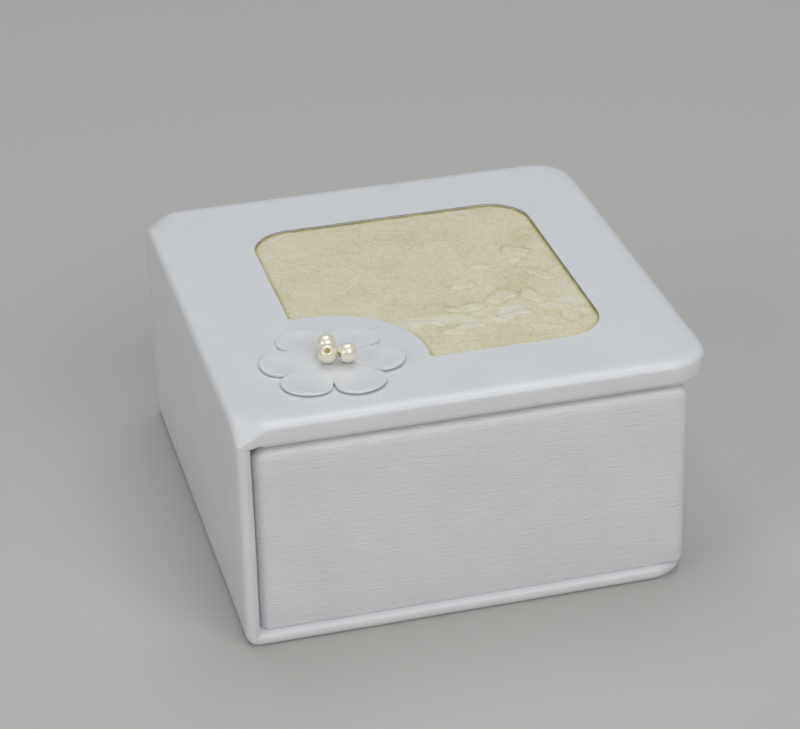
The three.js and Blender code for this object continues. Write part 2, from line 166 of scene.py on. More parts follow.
def hand_made(x, y, z):
    """The wander of a sheet glued over board by hand: the same everywhere, so that joined sheets agree."""
    point = sagged(x, y, z)
    slow = noise.noise_vector(point / 17.0) * 0.075
    quick = noise.noise_vector(point / 5.5 + Vector((7.0, 3.0, 1.0))) * 0.022
    return tuple(point + slow + quick)


def loft(rings, ring_closed=True, ends="open"):
    """Vertices and faces of a skin through rings of equal length. Its ends are open, capped or joined."""
    count = len(rings[0])
    vertices = [point for ring in rings for point in ring]
    faces = []
    stretches = len(rings) if ends == "joined" else len(rings) - 1
    around = count if ring_closed else count - 1
    for i in range(stretches):
        low, high = i * count, (i + 1) % len(rings) * count
        for j in range(around):
            k = (j + 1) % count
            faces.append((low + j, low + k, high + k, high + j))
    if ends == "capped":
        last = (len(rings) - 1) * count
        faces.append(tuple(reversed(range(count))))
        faces.append(tuple(range(last, last + count)))
    return vertices, faces


def make_mesh(name, vertices, faces, material, crease=40, field=None):
    """One object from points in millimetres, smooth except along edges sharper than crease degrees.
    field is a name and a value for each vertex."""
    mesh = bpy.data.meshes.new(name)
    mesh.from_pydata([Vector(v) * MM for v in vertices], [], faces)
    if field:
        mesh.attributes.new(field[0], "FLOAT", "POINT").data.foreach_set("value", field[1])
    work = bmesh.new()
    work.from_mesh(mesh)
    bmesh.ops.remove_doubles(work, verts=work.verts, dist=1e-7)
    bmesh.ops.dissolve_degenerate(work, edges=work.edges, dist=1e-8)
    bmesh.ops.recalc_face_normals(work, faces=work.faces)
    work.to_mesh(mesh)
    work.free()
    mesh.shade_smooth()
    mesh.set_sharp_from_angle(angle=math.radians(crease))
    mesh.materials.append(material)
    made = bpy.data.objects.new(name, mesh)
    bpy.context.scene.collection.objects.link(made)
    return made


# ---- materials ------------------------------------------------------------------------------------
class Recipe:
    """A procedural material: a Principled shader and the nodes that feed it, in the object's own space."""

    def __init__(self, name, color, roughness, **shader):
        self.material = bpy.data.materials.new(name)
        self.material.use_nodes = True
        self.nodes = self.material.node_tree.nodes
        self.links = self.material.node_tree.links
        self.shader = self.nodes["Principled BSDF"]
        self.shader.inputs["Base Color"].default_value = (*color, 1)
        self.shader.inputs["Roughness"].default_value = roughness
        for socket, value in shader.items():
            self.shader.inputs[socket].default_value = value
        self.space = self.nodes.new("ShaderNodeTexCoord")
        self.normal = None

    def mapped(self, size, turn=(0, 0, 0)):
        """Object space scaled so that one unit is size (x, y, z) in millimetres."""
        node = self.nodes.new("ShaderNodeMapping")
        node.inputs["Scale"].default_value = [1 / (s * MM) for s in size]
        node.inputs["Rotation"].default_value = turn
        self.links.new(self.space.outputs["Object"], node.inputs["Vector"])
        return node.outputs["Vector"]

    def noise(self, size, detail=2.0, turn=(0, 0, 0), distortion=0.0):
        node = self.nodes.new("ShaderNodeTexNoise")
        node.inputs["Scale"].default_value = 1.0
        node.inputs["Detail"].default_value = detail
        node.inputs["Distortion"].default_value = distortion
        self.links.new(self.mapped(size, turn), node.inputs["Vector"])
        return node.outputs["Fac"]

    def field(self, name):
        """Values stored with the mesh's vertices."""
        node = self.nodes.new("ShaderNodeAttribute")
        node.attribute_name = name
        return node.outputs["Fac"]

    def cells(self, size, feature="F1"):
        node = self.nodes.new("ShaderNodeTexVoronoi")
        node.feature = feature
        node.inputs["Scale"].default_value = 1.0
        self.links.new(self.mapped(size), node.inputs["Vector"])
        return node.outputs["Distance"]

    def ramp(self, source, stops):
        """Colours from a value; stops are (position, colour)."""
        node = self.nodes.new("ShaderNodeValToRGB")
        elements = node.color_ramp.elements
        while len(elements) < len(stops):
            elements.new(0.5)
        for element, (position, color) in zip(elements, stops):
            element.position = position
            element.color = (*color, 1)
        self.links.new(source, node.inputs["Fac"])
        return node.outputs["Color"]

    def color(self, source, stops):
        self.links.new(self.ramp(source, stops), self.shader.inputs["Base Color"])

    def roughness(self, source, low, high):
        node = self.nodes.new("ShaderNodeMapRange")
        node.inputs["From Min"].default_value = 0.3
        node.inputs["From Max"].default_value = 0.7
        node.inputs["To Min"].default_value = low
        node.inputs["To Max"].default_value = high
        self.links.new(source, node.inputs["Value"])
        self.links.new(node.outputs["Result"], self.shader.inputs["Roughness"])

    def bump(self, source, depth, strength=1.0):
        """Adds relief of that depth in millimetres over any relief already there."""
        node = self.nodes.new("ShaderNodeBump")
        node.inputs["Strength"].default_value = strength
        node.inputs["Distance"].default_value = depth * MM
        self.links.new(source, node.inputs["Height"])
        if self.normal:
            self.links.new(self.normal, node.inputs["Normal"])
        self.normal = node.outputs["Normal"]
        self.links.new(self.normal, self.shader.inputs["Normal"])


def leatherette(name, streak, depth):
    """White grained leatherette. streak is the size of its drawn-out grain along x, y and z."""
    recipe = Recipe(name, (0.80, 0.81, 0.83), 0.5, **{
        "Specular IOR Level": 0.5,
        "Coat Weight": 0.35,
        "Coat Roughness": 0.28,
    })
    drift = recipe.noise((9, 9, 9), detail=3)
    recipe.color(drift, [(0.3, (0.77, 0.78, 0.80)), (0.7, (0.81, 0.82, 0.835))])
    recipe.roughness(recipe.noise((1.2, 1.2, 1.2), detail=4), 0.32, 0.42)
    recipe.bump(recipe.noise(streak, detail=3, distortion=0.4), depth)
    recipe.bump(recipe.cells((0.42, 0.42, 0.42)), 0.018)
    recipe.bump(recipe.noise((0.16, 0.16, 0.16)), 0.006)
    return recipe.material


def window_paper():
    """Cream embossed paper: olive veins of its own, painted shade in its leaves' grooves and round its edge, and
    painted highlight on its pressed leaves.
    """
    recipe = Recipe("cream_paper", (0.55, 0.51, 0.37), 0.55, **{"Specular IOR Level": 0.4})
    # the darkest stops carry the painted shade round the window's edge, the palest the painted highlights
    recipe.color(recipe.field("tone"), [
        (0.0, (0.33, 0.31, 0.19)),
        (0.12, (0.56, 0.52, 0.25)),
        (0.38, (0.70, 0.65, 0.43)),
        (0.52, (0.76, 0.71, 0.53)),
        (0.68, (0.79, 0.75, 0.59)),
        (0.95, (0.84, 0.84, 0.76)),
    ])
    recipe.roughness(recipe.noise((0.8, 0.8, 0.8), detail=4), 0.45, 0.62)
    recipe.bump(recipe.noise((0.55, 0.55, 0.55), detail=4, distortion=0.6), 0.03)
    return recipe.material


def pearl(name):
    """Pearl lacquer, and the bare glass ring round the hole."""
    recipe = Recipe(name, (0.86, 0.80, 0.60), 0.2, **{
        "IOR": 1.9,
        "Coat Weight": 1.0,
        "Coat Roughness": 0.14,
        "Coat IOR": 2.2,
    })
    recipe.color(recipe.field("mouth"), [
        (0.0, (0.93, 0.87, 0.70)),
        (0.12, (0.93, 0.87, 0.70)),
        (0.2, (0.98, 0.95, 0.80)),
        (0.45, (0.96, 0.91, 0.70)),
        (0.6, (0.62, 0.50, 0.18)),
        (1.0, (0.48, 0.38, 0.10)),
    ])
    recipe.roughness(recipe.noise((1.1, 1.1, 1.1), detail=2), 0.16, 0.24)
    recipe.bump(recipe.noise((0.6, 0.6, 0.6), detail=1), 0.002)
    return recipe.material


def lining_paper():
    recipe = Recipe("lining_paper", (0.78, 0.75, 0.68), 0.7)
    recipe.color(recipe.noise((5, 5, 5), detail=4), [(0.3, (0.75, 0.72, 0.65)), (0.7, (0.82, 0.79, 0.72))])
    recipe.bump(recipe.noise((0.5, 0.5, 0.5), detail=4), 0.03)
    return recipe.material


def satin():
    recipe = Recipe("cushion_satin", (0.80, 0.77, 0.70), 0.36, **{
        "Sheen Weight": 0.35,
        "Sheen Roughness": 0.4,
        "Anisotropic": 0.5,
    })
    recipe.color(recipe.noise((7, 7, 7), detail=3), [(0.3, (0.77, 0.74, 0.66)), (0.7, (0.83, 0.80, 0.73))])
    recipe.roughness(recipe.noise((0.9, 3.0, 0.9), detail=3), 0.3, 0.42)
    recipe.bump(recipe.noise((0.12, 2.2, 0.12), detail=2), 0.012)
    recipe.bump(recipe.noise((1.6, 0.10, 1.6), detail=2), 0.008)
    return recipe.material


def grey_board():
    recipe = Recipe("grey_board", (0.33, 0.30, 0.26), 0.9)
    recipe.color(recipe.noise((0.6, 0.6, 0.3), detail=6), [(0.3, (0.27, 0.25, 0.22)), (0.7, (0.40, 0.37, 0.33))])
    recipe.bump(recipe.noise((0.3, 0.3, 0.12), detail=5), 0.06)
    return recipe.material


def nickel():
    recipe = Recipe("nickel_plate", (0.66, 0.66, 0.68), 0.28, Metallic=1.0)
    recipe.roughness(recipe.noise((0.8, 0.8, 0.8), detail=5), 0.2, 0.4)
    recipe.bump(recipe.noise((0.2, 2.0, 0.2), detail=3), 0.006)
    return recipe.material


# ---- outlines -------------------------------------------------------------------------------------
# Both outlines run the same way and have the same stations, so that any two of them make a ring of
# faces. The nearest corner to the flower is the lid's sharp corner and the window's concave arc.
NOTCH_STEPS = 22
FILLET_STEPS = 4
NEAR_LEFT_STEPS = 14
NEAR_FRONT_STEPS = NOTCH_STEPS + 2 * FILLET_STEPS - NEAR_LEFT_STEPS


def lid_outline(inset, left):
    """The lid's plan, moved inwards by inset, and by left along the hinge side."""
    x0, x1 = LID_LOW.x + left, LID_HIGH.x - inset
    edge = HALF_DEPTH - inset
    r = max(CORNER - inset, 0.3)
    split_y, split_x = -7.5, -4.0
    return (
        line(x1, -edge + r, x1, edge - r, SIDE_STEPS)
        + arc(x1 - r, edge - r, r, 0, math.pi / 2, ARC_STEPS)
        + line(x1 - r, edge, x0, edge, SIDE_STEPS + ARC_STEPS, crowded="end")
        + line(x0, edge, x0, split_y, SIDE_STEPS, crowded="start")
        + line(x0, split_y, x0, -edge, NEAR_LEFT_STEPS, crowded="end")
        + line(x0, -edge, split_x, -edge, NEAR_FRONT_STEPS, crowded="start")
        + line(split_x, -edge, x1 - r, -edge, SIDE_STEPS)
        + arc(x1 - r, -edge + r, r, -math.pi / 2, 0, ARC_STEPS)
    )


def window_outline(grow):
    """The window, moved outwards by grow."""
    x0, x1 = WINDOW_X0 - grow, WINDOW_X1 + grow
    y0, y1 = WINDOW_Y0 - grow, WINDOW_Y1 + grow
    r = WINDOW_CORNER + grow
    notch = NOTCH - grow
    fillet = FILLET + grow
    reach = NOTCH + FILLET
    left_x = WINDOW_X0 + FILLET
    left_y = FLOWER_Y + math.sqrt(reach ** 2 - (left_x - FLOWER_X) ** 2)
    front_y = WINDOW_Y0 + FILLET
    front_x = FLOWER_X + math.sqrt(reach ** 2 - (front_y - FLOWER_Y) ** 2)
    left_turn = math.atan2(left_y - FLOWER_Y, left_x - FLOWER_X)
    front_turn = math.atan2(front_y - FLOWER_Y, front_x - FLOWER_X)
    return (
        line(x1, y0 + r, x1, y1 - r, SIDE_STEPS)
        + arc(x1 - r, y1 - r, r, 0, math.pi / 2, ARC_STEPS)
        + line(x1 - r, y1, x0 + r, y1, SIDE_STEPS)
        + arc(x0 + r, y1 - r, r, math.pi / 2, math.pi, ARC_STEPS)
        + line(x0, y1 - r, x0, left_y, SIDE_STEPS)
        + arc(left_x, left_y, fillet, math.pi, left_turn + math.pi, FILLET_STEPS)
        + arc(FLOWER_X, FLOWER_Y, notch, left_turn, front_turn, NOTCH_STEPS)
        + arc(front_x, front_y, fillet, front_turn + math.pi, 1.5 * math.pi, FILLET_STEPS)
        + line(front_x, y0, x1 - r, y0, SIDE_STEPS)
        + arc(x1 - r, y0 + r, r, -math.pi / 2, 0, ARC_STEPS)
    )


def shoulder_fall(x):
    """How far the lid's top has dropped at x, where it turns towards the hinge band."""
    past = max(LID_LOW.x + SHOULDER - x, 0)
    return past * past / (2 * SHOULDER) * math.tan(BAND_SLOPE)


# ---- lid ------------------------------------------------------------------------------------------
def lid_level(kind, offset, left, z):
    """One ring round the lid: a lid outline, a window outline, or a share of the way between them."""
    if kind == "window":
        plan = window_outline(offset)
    elif kind == "lid":
        plan = lid_outline(offset, left)
    else:
        edge = lid_outline(TOP_ROLL + 1.3, SHOULDER)
        plan = [mix(a, b, offset) for a, b in zip(window_outline(WINDOW_ROLL), edge)]
    high = smooth((z - LID_FOOT - 1.5) / 2)
    ring = []
    for x, y in plan:
        drop = shoulder_fall(x) * high
        ring.append(hand_made(x, y, z - drop))
    return ring


def lid_skin(material):
    """The sheet round the lid's boards, closed on itself through the window."""
    top, foot = HEIGHT, LID_FOOT
    inner_top = top - SKIN
    window_foot = PANEL_LOW.z
    levels = [("window", 0, 0, window_foot), ("window", 0, 0, top - WINDOW_ROLL)]
    levels += [("window", inset, 0, top - fall)
               for inset, fall in [(WINDOW_ROLL - a, b) for a, b in reversed(
                   [(q, d) for d, q in quarter(WINDOW_ROLL, 5)])][1:]]
    levels += [("between", share, 0, top) for share in (0.15, 0.4, 0.7, 1.0)]
    levels += [("lid", TOP_ROLL + 0.8, 1.25, top), ("lid", TOP_ROLL + 0.4, 0.6, top)]
    levels += [("lid", inset, 0, top - fall) for inset, fall in reversed(quarter(TOP_ROLL, 12, TOP_FALL, CROWN))]
    levels += [("lid", 0, 0, foot + FOOT_ROLL)]
    levels += [("lid", inset, 0, foot + fall) for inset, fall in quarter(FOOT_ROLL, 6)[1:]]
    levels += [("lid", LINER_INSET, LINER_INSET, foot), ("lid", LINER_INSET, LINER_INSET, foot + SKIN)]
    levels += [("lid", 1.2, SKIN, foot + SKIN), ("lid", SKIN, SKIN, foot + 1.2)]
    levels += [("lid", SKIN, SKIN, top - TOP_FALL), ("lid", TOP_ROLL, SKIN, inner_top)]
    levels += [("window", SKIN + 0.3, 0, inner_top), ("window", SKIN, 0, inner_top - 0.3),
               ("window", SKIN, 0, window_foot)]
    vertices, faces = loft([lid_level(*level) for level in levels], ends="joined")
    return make_mesh("lid_leatherette", vertices, faces, material)


# ---- case: bottom and spine -----------------------------------------------------------------------
def case_point(along, y, depth):
    """A point of the case's sheet: along it from the spine's top, and depth in from its outer face."""
    x0 = CASE_LOW.x
    straight = SEAM - CASE_BEND
    bend = CASE_BEND * math.pi / 2
    if along <= straight:
        x, z = x0 + depth, SEAM - along
    elif along <= straight + bend:
        turn = (along - straight) / CASE_BEND
        x = x0 + CASE_BEND - (CASE_BEND - depth) * math.cos(turn)
        z = CASE_BEND - (CASE_BEND - depth) * math.sin(turn)
    else:
        x, z = x0 + CASE_BEND + along - straight - bend, depth
    return x, y, z


def spread(total, near, steps):
    """Distances from 0 to total: the list near first, then even steps."""
    rest = [near[-1] + (total - near[-1]) * (i + 1) / steps for i in range(steps)]
    return list(near) + rest


def case_skin(material):
    """Bottom and spine: one flat slab with rounded edges and free corners, bent up under the spine."""
    straight = SEAM - CASE_BEND
    bend = CASE_BEND * math.pi / 2
    length = straight + bend + CASE_HIGH.x - CASE_LOW.x - CASE_BEND
    roll = CASE_THICKNESS / 2

    def edge_at(along):
        past = max(along - (length - CORNER), 0)
        return HALF_DEPTH - CORNER + math.sqrt(max(CORNER ** 2 - past ** 2, 0))

    def lift(along, y, inset):
        """Height of the lower face over the outer face's plane: nothing, and rising round the edge."""
        past_x = along - (length - CORNER)
        past_y = abs(y) - (HALF_DEPTH - CORNER)
        if past_x > 0 and past_y > 0:
            d = CORNER - math.hypot(past_x, past_y)
        else:
            d = min(length - along, HALF_DEPTH - abs(y))
        r = roll - inset
        d = min(max(d - inset, 0), r)
        return inset + r - math.sqrt(max(r * r - (r - d) ** 2, 0))

    rounds = [roll * (1 - math.cos(math.pi / 2 * i / 6)) for i in range(7)]
    alongs = [straight * i / 12 for i in range(12)]
    alongs += [straight + bend * i / 8 for i in range(8)]
    flat_start = straight + bend
    flat_end = length - CORNER
    alongs += [flat_start + (flat_end - flat_start) * i / 14 for i in range(14)]
    corner = [CORNER * math.sin(math.pi / 2 * i / 12) for i in range(12)]
    alongs += [flat_end + c for c in corner if c < CORNER - roll]
    alongs += [length - d for d in reversed(rounds)]
    insets = spread(HALF_DEPTH, rounds, 10)

    def side(inset, upper):
        rows = []
        for along in alongs:
            edge = edge_at(along)
            half = [(edge - d * edge / HALF_DEPTH) if d > roll else edge - d for d in insets]
            row = []
            for y in [-h for h in half] + list(reversed(half))[1:]:
                shrunk = y * (1 - inset / HALF_DEPTH)
                reach = min(max(along, inset), length - inset)
                rise = lift(reach, shrunk, inset)
                depth = CASE_THICKNESS - rise if upper else rise
                row.append(hand_made(*case_point(reach, shrunk, depth)))
            rows.append(row)
        return rows

    vertices, faces = [], []
    for inset in (0, SKIN):
        for upper in (False, True):
            skin_vertices, skin_faces = loft(side(inset, upper), ring_closed=False)
            shift = len(vertices)
            vertices += skin_vertices
            faces += [tuple(i + shift for i in face) for face in skin_faces]
        count = len(insets) * 2 - 1
        low = len(vertices) - 2 * len(alongs) * count
        high = low + len(alongs) * count
        faces += [(low + j, low + j + 1, high + j + 1, high + j) for j in range(count - 1)]
    for v, (x, y, z) in enumerate(vertices):
        vertices[v] = (x, y, max(z, 0.0))
    return make_mesh("case_leatherette", vertices, faces, material)


# ---- hinge band -----------------------------------------------------------------------------------
def band_path():
    """Outer points of the band's section from the spine to the lid."""
    x0 = CASE_LOW.x
    end_x = LID_LOW.x
    end_z = HEIGHT - shoulder_fall(end_x)
    crest_turn = math.pi / 2 + BAND_SLOPE
    centre_x = x0 + BAND_CORNER
    crest_x = centre_x + BAND_CORNER * math.cos(crest_turn)
    crest_z = end_z - (end_x - crest_x) * math.tan(BAND_SLOPE)
    centre_z = crest_z - BAND_CORNER * math.sin(crest_turn)
    outer = line(x0, SEAM, x0, centre_z, 5)
    outer += arc(centre_x, centre_z, BAND_CORNER, math.pi, crest_turn, 8)
    outer += line(crest_x, crest_z, end_x, end_z, 8)
    outer.append((end_x, end_z))
    return outer


def band_skin(material):
    """The bare hinge band: thick where the sheets turn in at its ends, thin between them."""
    outer = band_path()
    x0 = CASE_LOW.x
    lengths = [0.0]
    for a, b in zip(outer, outer[1:]):
        lengths.append(lengths[-1] + math.dist(a, b))
    total = lengths[-1]

    def section(share):
        """Inner points at one share of the way: in the middle of the band, and at its ends."""
        thin = mix((x0 + CASE_THICKNESS, SEAM), (LID_LOW.x, HEIGHT - 1.9), smooth(share))
        thin = (thin[0] - 0.9 * math.sin(math.pi * share) * (1 - share), thin[1] + 0.5 * math.sin(math.pi * share))
        thick = mix((x0 + CASE_THICKNESS, SEAM), (LID_LOW.x, LID_FOOT + 0.2), share)
        return thin, thick

    rings = []
    for (ox, oz), reach in zip(outer, lengths):
        share = reach / total
        thin, thick = section(share)
        top_roll = 1.2 + (TOP_ROLL - 1.2) * smooth(share)
        top_fall = 1.2 + (TOP_FALL - 1.2) * smooth(share)
        foot_roll = 1.2 + (FOOT_ROLL - 1.2) * smooth(share)

        def place(inset, from_outer, roll):
            """A point at a distance in from the band's end, and a depth from its outer or inner face."""
            back = mix(thin, thick, 1 - smooth((inset - 1.5) / 5.0))
            gap = math.dist((ox, oz), back)
            depth = min(roll, gap * 0.49) / gap
            return mix((ox, oz), back, depth) if from_outer else mix(back, (ox, oz), depth)

        across = spread(HALF_DEPTH, [3.5, 4.0, 4.6, 5.4, 6.2, 7.2], 8)
        crown = 2 + (CROWN - 2) * smooth(share)
        top = [(inset, place(inset, True, fall)) for inset, fall in quarter(top_roll, 12, top_fall, crown)]
        top += [(inset, place(inset, True, 0)) for inset in across]
        foot = [(inset, place(inset, False, fall)) for inset, fall in quarter(foot_roll, 6)]
        foot += [(inset, place(inset, False, 0)) for inset in across]
        loop = [(x, -HALF_DEPTH + inset, z) for inset, (x, z) in top]
        loop += [(x, HALF_DEPTH - inset, z) for inset, (x, z) in reversed(top[:-1])]
        loop += [(x, HALF_DEPTH - inset, z) for inset, (x, z) in foot]
        loop += [(x, -HALF_DEPTH + inset, z) for inset, (x, z) in reversed(foot[:-1])]
        rings.append([hand_made(*point) for point in loop])
    vertices, faces = loft(rings, ends="capped")
    return make_mesh("hinge_leatherette", vertices, faces, material)


# ---- tray -----------------------------------------------------------------------------------------
def tray_outline(inset):
    x0, x1 = TRAY_LOW.x + inset, TRAY_HIGH.x - inset
    edge = TRAY_HIGH.y - inset
    r = max(TRAY_CORNER - inset, 0.25)
    return (
        line(x1, -edge + r, x1, edge - r, SIDE_STEPS)
        + arc(x1 - r, edge - r, r, 0, math.pi / 2, 6)
        + line(x1 - r, edge, x0 + r, edge, SIDE_STEPS)
        + arc(x0 + r, edge - r, r, math.pi / 2, math.pi, 6)
        + line(x0, edge - r, x0, -edge + r, SIDE_STEPS)
        + arc(x0 + r, -edge + r, r, math.pi, 1.5 * math.pi, 6)
        + line(x0 + r, -edge, x1 - r, -edge, SIDE_STEPS)
        + arc(x1 - r, -edge + r, r, -math.pi / 2, 0, 6)
    )


def tray_skin(material):
    """The sheet round the tray walls: up the outside, over the rim and down inside."""
    top, foot = TRAY_HIGH.z, TRAY_LOW.z
    inner_roll = TRAY_WALL - TRAY_ROLL
    levels = [(0.25, foot), (0.06, foot + 0.2), (0, foot + 0.5)]
    climb = top - TRAY_ROLL - foot - 0.5
    levels += [(0, foot + 0.5 + climb * i / 9) for i in range(1, 9)]
    levels += [(inset, top - fall) for inset, fall in quarter(TRAY_ROLL, 8)]
    levels += [(TRAY_WALL - inset, top - fall) for inset, fall in reversed(quarter(inner_roll, 6))][1:]
    levels += [(TRAY_WALL, top - RIM_TURN_IN + 0.1), (TRAY_WALL - 0.15, top - RIM_TURN_IN),
               (TRAY_WALL - SKIN, top - RIM_TURN_IN)]
    levels += [(TRAY_WALL - SKIN, top - 1.4), (TRAY_ROLL, top - SKIN), (SKIN, top - TRAY_ROLL)]
    levels += [(SKIN, foot + SKIN), (CORNER, foot + SKIN), (CORNER, foot)]
    rings = [[hand_made(x, y, z) for x, y in tray_outline(inset)] for inset, z in levels]
    vertices, faces = loft(rings, ends="joined")
    return make_mesh("tray_leatherette", vertices, faces, material)


# ---- window panel ---------------------------------------------------------------------------------
# Leaves pressed into the paper: place, length, width and heading in degrees.
LEAVES = [
    (6.5, -11.0, 7.0, 3.8, 8),
    (13.4, -9.0, 5.6, 4.2, 65),
    (18.2, -10.3, 5.8, 4.2, 112),
    (20.0, 5.5, 8.6, 4.0, 78),
    (22.4, -2.6, 6.0, 3.4, 132),
    (-1.5, -15.3, 7.5, 2.8, -22),
    (4.2, -18.6, 7.5, 2.4, 2),
    (12.2, -16.2, 8.5, 2.4, -2),
    (23.4, -18.6, 6.0, 3.8, 38),
    (13.6, 1.8, 6.0, 3.0, 148),
    (8.2, -3.4, 5.0, 2.6, 28),
    (17.0, -21.8, 6.0, 2.6, 170),
]
PAPER_PLAY = 0.12               # between the flat of the paper and the window's edge
PAPER_RISE = 0.12               # of the paper over the flat panel of the frame
PAPER_EDGE, PAPER_FALL = 0.4, 0.15   # width and depth of the paper's fall at its edge
LIP_DEPTH = 0.25                # the paper's cut edge stands up to here below the lid's top
# tone of the paper's standing cut edge: dark, a painted line of shade round the paper
LIP_PAINTED_SHADE = 0.04
PAPER_STEP = 0.3
PAPER_WIDTH = 0.42              # of the grain in its tone


def leaf_at(x, y):
    """The pressed leaves at a point: their height from 0 to 1, and how much of an outline is there."""
    height, outline = 0.0, 0.0
    for leaf_x, leaf_y, length, width, heading in LEAVES:
        turn = math.radians(heading)
        dx, dy = x - leaf_x, y - leaf_y
        along = (dx * math.cos(turn) + dy * math.sin(turn)) / (length / 2)
        across = (-dx * math.sin(turn) + dy * math.cos(turn)) / (width / 2)
        out = math.sqrt(along ** 2 + across ** 2)
        vein = math.exp(-((across * 6) ** 2)) if abs(along) < 0.8 else 0.0
        height = max(height, smooth((1.05 - out) / 0.45) - 0.25 * vein)
        outline = max(outline, math.exp(-(((out - 1.05) / 0.16) ** 2)))
    return height, outline * (1 - 0.8 * max(height, 0))


def paper_at(x, y):
    """The paper's relief in millimetres and its tone, at a point of the window. The tone carries painted highlight
    on the leaves and in a pale band, and painted shade along the leaves' grooves.
    """
    point = Vector((x, y, 0))
    warp = noise.noise_vector(point / 4.0) * 1.8
    height, outline = leaf_at(x + warp.x, y + warp.y)
    grain = noise.fractal(point / PAPER_WIDTH, 0.7, 2.0, 3)
    folds = max(1 - abs(noise.noise((point + warp) / 3.0)) * 3.2, 0) ** 2
    drift = noise.noise(point / 7.0 + Vector((3, 1, 4)))
    # painted highlight: a pale band across the lower middle of the window, broken up by noise
    painted_highlight = math.exp(-(((y + 15.5 - 0.1 * x) / 3.2) ** 2)) * smooth((noise.noise(point / 3.2) + 0.35) / 0.7)
    worn = 0.5 + smooth(noise.noise(point / 2.4 + Vector((8, 2, 5))) + 0.5)
    relief = 0.16 * height * worn - 0.03 * outline + 0.05 * folds + 0.05 * grain
    # painted highlight where the leaves stand up and painted shade along their grooves; the folds, grain and drift
    # are the paper's own tone
    tone = 0.5 + 0.09 * height * worn - 0.12 * outline * worn - 0.12 * folds
    tone += 0.25 * grain + 0.12 * drift + 0.24 * painted_highlight
    return relief, tone


def window_depth(x, y):
    """How far a point is inside the window's edge."""
    r = WINDOW_CORNER
    past_x = max(WINDOW_X0 + r - x, x - WINDOW_X1 + r)
    past_y = max(WINDOW_Y0 + r - y, y - WINDOW_Y1 + r)
    inside = r - (math.hypot(past_x, past_y) if past_x > 0 and past_y > 0 else max(past_x, past_y))
    return min(inside, math.hypot(x - FLOWER_X, y - FLOWER_Y) - NOTCH)


def panel_sheet(material):
    """The paper let into the window, with its card."""
    outline = window_outline(-PAPER_PLAY)
    top, under = PANEL_HIGH.z + PAPER_RISE, PANEL_LOW.z
    across = [(x, y) for x, y in grid_points() if window_depth(x, y) > PAPER_PLAY + PAPER_STEP / 2]
    plan = [Vector(point) for point in outline + across]
    count = len(outline)
    loop = [list(range(count))]
    flat, _, triangles, *_ = delaunay_2d_cdt(plan, [], loop, 1, 1e-6)
    vertices, tones = [], []
    for x, y in flat:
        relief, tone = paper_at(x, y)
        depth = window_depth(x, y) - PAPER_PLAY
        edge = smooth(depth / PAPER_EDGE)
        vertices.append((x, y, top - PAPER_FALL * (1 - edge) + relief * edge))
        # painted shade: the tone darkens within 0.9 mm of the window's edge
        tones.append(tone - 0.28 * (1 - smooth(depth / 0.9)))
    faces = [tuple(face) for face in triangles]
    first = len(vertices)
    rings = [(outline, top - PAPER_FALL), (window_outline(-0.07), HEIGHT - LIP_DEPTH),
             (window_outline(-0.02), HEIGHT - LIP_DEPTH), (window_outline(-0.02), under)]
    lip, lip_faces = loft([[(x, y, z) for x, y in ring] for ring, z in rings])
    vertices += lip
    tones += [LIP_PAINTED_SHADE] * len(lip)
    faces += [tuple(i + first for i in face) for face in lip_faces]
    faces.append(tuple(range(first + 3 * count, first + 4 * count)))
    return make_mesh("window_paper", vertices, faces, material, crease=60, field=("tone", tones))


def grid_points():
    """A grid over the window's box, each point a little off its place."""
    columns = round((WINDOW_X1 - WINDOW_X0) / PAPER_STEP)
    rows = round((WINDOW_Y1 - WINDOW_Y0) / PAPER_STEP)
    for i in range(columns + 1):
        for j in range(rows + 1):
            x = WINDOW_X0 + i * PAPER_STEP + (0.5 * PAPER_STEP if j % 2 else 0)
            yield x, WINDOW_Y0 + j * PAPER_STEP


# ---- flower and beads -----------------------------------------------------------------------------
def petal_radius(turn):
    lobe = abs(math.cos(turn * PETALS / 2)) ** 0.42
    tip = PETAL_TIPS[round(turn * PETALS / (2 * math.pi)) % PETALS]
    return PETAL_NOTCH + (tip - PETAL_NOTCH) * lobe


